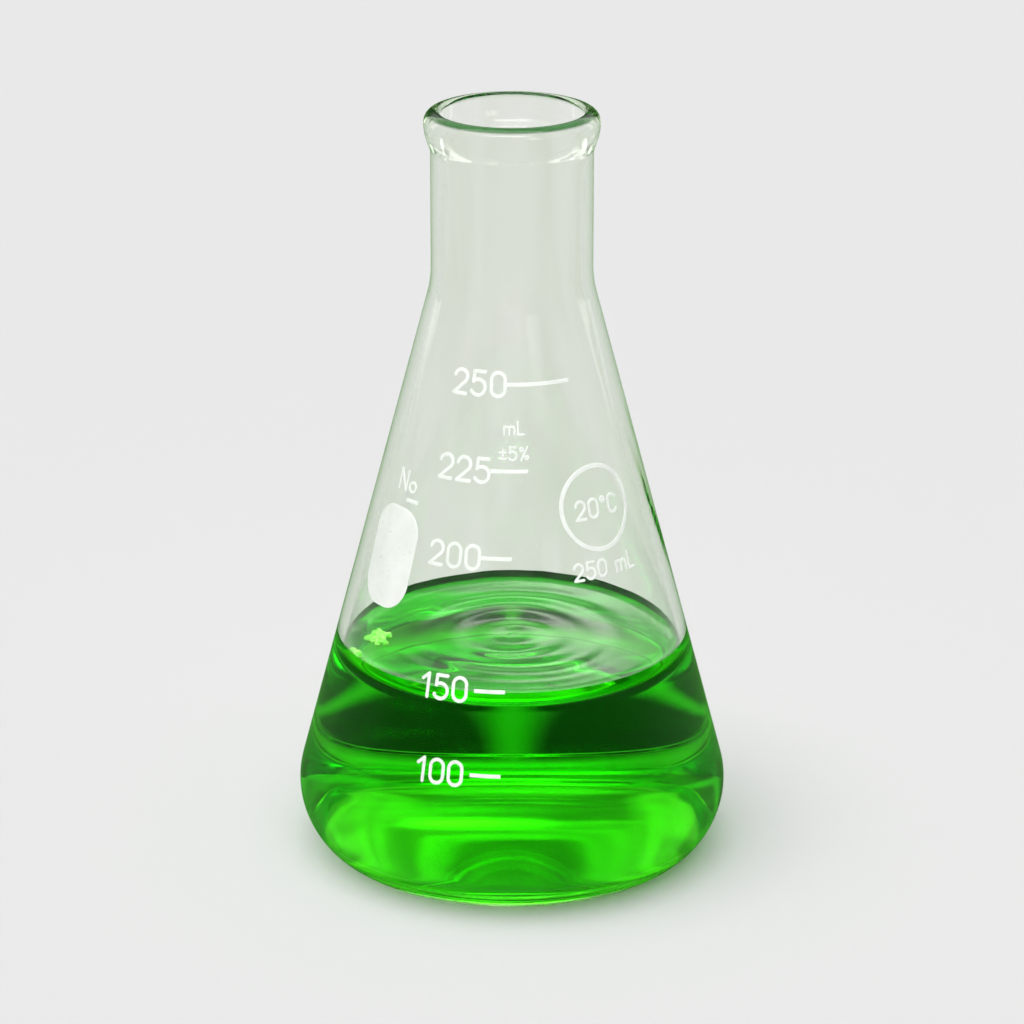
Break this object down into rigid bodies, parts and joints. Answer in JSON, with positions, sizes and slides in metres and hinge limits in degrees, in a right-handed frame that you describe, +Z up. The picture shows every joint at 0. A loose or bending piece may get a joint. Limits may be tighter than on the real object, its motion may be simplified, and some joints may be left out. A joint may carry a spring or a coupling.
{
  "type": "erlenmeyer flask",
  "caption": "Clear glass conical flask with a beaded rim, a straight neck, white printed scale and marking spot, part filled with green liquid, for mixing and growing cultures.",
  "frame": {"origin": "centre of the base, on the surface the flask stands on", "axes": "+Z up along the flask's axis; -Y is the front, where the volume scale is printed; +X is to the right seen from the front"},
  "size_m": [0.0804, 0.0804, 0.142],
  "materials": {
    "clear_glass": "polished",
    "green_medium": "polished",
    "white_enamel": "satin"
  },
  "bodies": {
    "root": {"flask_body": "clear_glass", "liquid": "green_medium", "graduation_lines": "white_enamel", "graduation_numerals": "white_enamel", "marking_spot": "white_enamel", "spot_heading": "white_enamel", "badge_ring": "white_enamel", "badge_text": "white_enamel", "capacity_text": "white_enamel", "tolerance_text": "white_enamel"}
  },
  "joints": []
}
